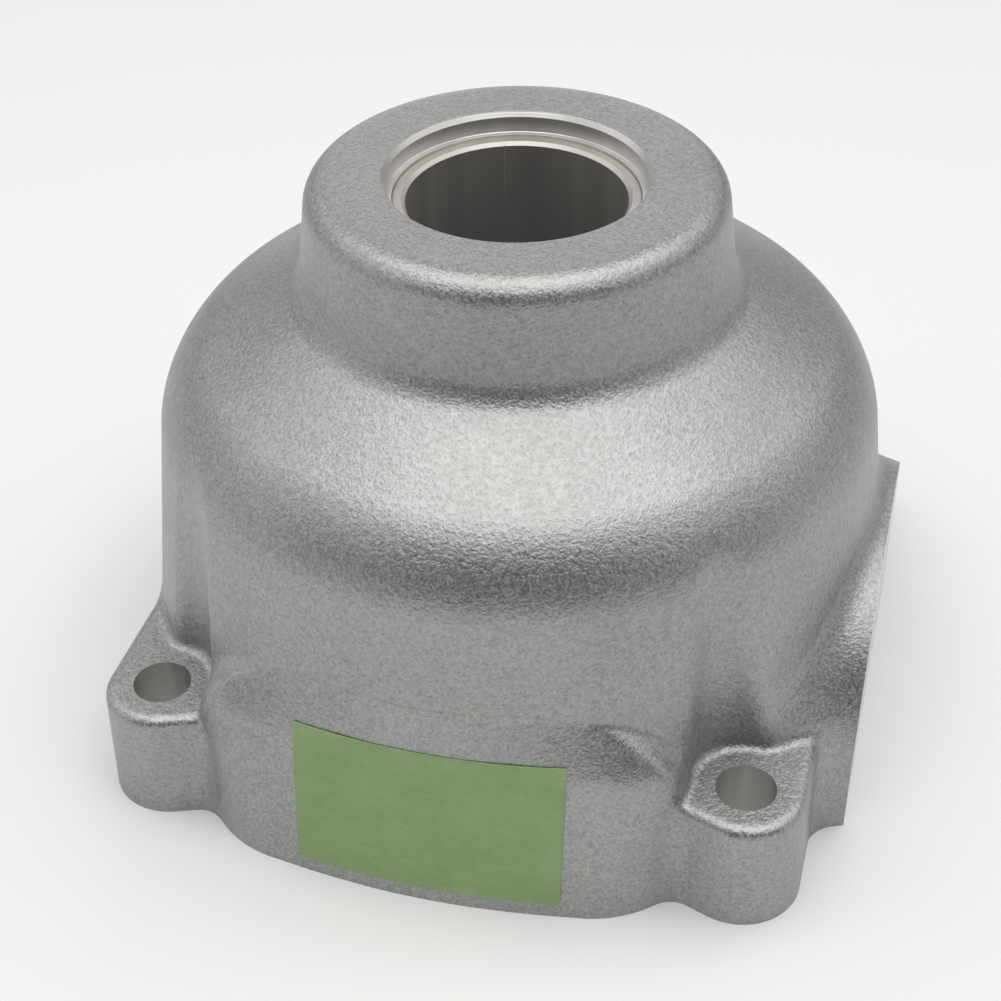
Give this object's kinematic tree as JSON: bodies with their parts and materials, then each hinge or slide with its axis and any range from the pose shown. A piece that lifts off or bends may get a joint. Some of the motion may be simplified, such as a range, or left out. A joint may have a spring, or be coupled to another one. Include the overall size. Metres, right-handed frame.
{
  "type": "impact wrench head housing",
  "caption": "Cast bell-shaped head housing of an impact wrench, with a bushed nose bore, corner bolt lugs, a side pad and a strip of masking tape on its label face.",
  "frame": {"origin": "centre of the bolt circle, on the bore's axis, in the mating face", "axes": "+Z along the bore towards the nose, -Y towards the label face, +X towards the side pad"},
  "size_m": [0.0929, 0.094, 0.068],
  "materials": {
    "cast_aluminium": "shot-blasted casting with a fine matt grain, bores and bolt holes machined bright",
    "bush_steel": "dark low-friction lining on a wrapped steel bush, bright machined ends",
    "green_tape": "matt creped paper masking tape"
  },
  "bodies": {
    "root": {"head_housing": "cast_aluminium", "anvil_bush": "bush_steel", "masking_tape": "green_tape"}
  },
  "joints": []
}
